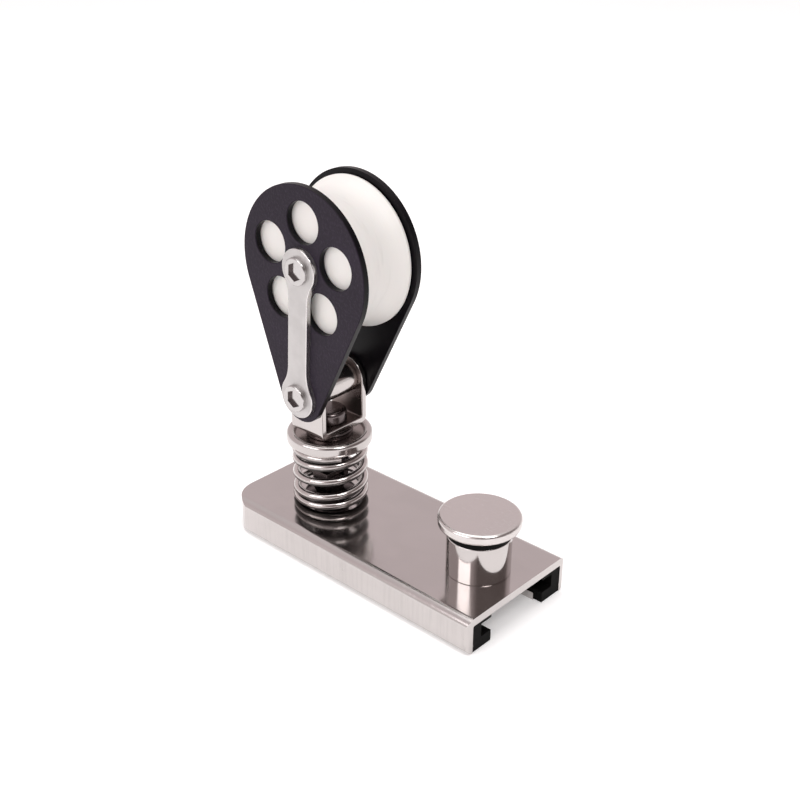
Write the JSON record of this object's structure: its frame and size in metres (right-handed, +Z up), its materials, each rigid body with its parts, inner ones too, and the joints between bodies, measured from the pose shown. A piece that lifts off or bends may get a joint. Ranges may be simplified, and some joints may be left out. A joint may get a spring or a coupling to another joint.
{
  "type": "single sheave block",
  "caption": "Sheave block with black cheeks on a spring-supported swivel, carried by a polished track slide with a pull-up stop pin.",
  "frame": {"origin": "middle of the slide's footprint, on the plane of the slide's underside", "axes": "+X along the slide towards the stop plunger, +Y across the slide, +Z up"},
  "size_m": [0.1, 0.0454, 0.1172],
  "materials": {
    "slide_steel": "mirror-polished stainless sheet",
    "polished_steel": "mirror-polished stainless steel",
    "spring_steel": "bright drawn stainless spring wire",
    "strap_steel": "tumbled stainless, bright edges",
    "black_cheek": "satin black moulded nylon",
    "black_liner": "black nylon",
    "white_sheave": "white acetal, satin turned surface",
    "bearing_bush": "filled acetal bush"
  },
  "bodies": {
    "slide": {"slide_channel": "slide_steel", "liner_near": "black_liner", "liner_far": "black_liner", "base_padeye": "polished_steel", "plunger_barrel": "polished_steel", "barrel_bush": "black_liner", "stand_up_spring": "spring_steel", "plunger_spring": "spring_steel"},
    "toggle": {"toggle_link": "polished_steel", "lower_cross_pin": "polished_steel"},
    "post": {"swivel_post": "polished_steel", "upper_cross_pin": "polished_steel", "spring_cup": "polished_steel", "thrust_washer": "polished_steel", "swivel_nut": "polished_steel"},
    "fork": {"fork": "polished_steel", "spacer_tube": "polished_steel"},
    "head": {"cheek_near": "black_cheek", "cheek_far": "black_cheek", "strap_near": "strap_steel", "strap_far": "strap_steel", "axle": "polished_steel", "fork_pin": "polished_steel", "strap_screws": "strap_steel"},
    "sheave": {"sheave": "white_sheave", "sheave_bush": "bearing_bush"},
    "plunger": {"plunger_pin": "polished_steel", "plunger_cap": "polished_steel"}
  },
  "joints": [
    {"name": "spring_lean_along", "type": "hinge", "parent": "slide", "child": "toggle", "pos_m": [-0.026, 0, 0.0169], "axis": [0, 1, 0], "range_deg": [-15, 15], "stiffness_Nm_per_rad": 2.5, "deforming": ["stand_up_spring"]},
    {"name": "spring_lean_across", "type": "hinge", "parent": "toggle", "child": "post", "pos_m": [-0.026, 0, 0.0255], "axis": [1, 0, 0], "range_deg": [-15, 15], "stiffness_Nm_per_rad": 2.5},
    {"name": "head_swivel", "type": "hinge", "parent": "post", "child": "fork", "pos_m": [-0.026, 0, 0.038], "axis": [0, 0, 1], "continuous": true},
    {"name": "head_tilt", "type": "hinge", "parent": "fork", "child": "head", "pos_m": [-0.026, 0, 0.0514], "axis": [0, 1, 0], "range_deg": [-48.5, 41.5]},
    {"name": "sheave_spin", "type": "hinge", "parent": "head", "child": "sheave", "pos_m": [-0.02348, 0, 0.09252], "axis": [0, 1, 0], "continuous": true},
    {"name": "plunger_lift", "type": "slide", "parent": "slide", "child": "plunger", "axis": [0, 0, 1], "range_m": [0, 0.0064], "stiffness_N_per_m": 800, "springref_m": -0.003, "deforming": ["plunger_spring"]}
  ]
}
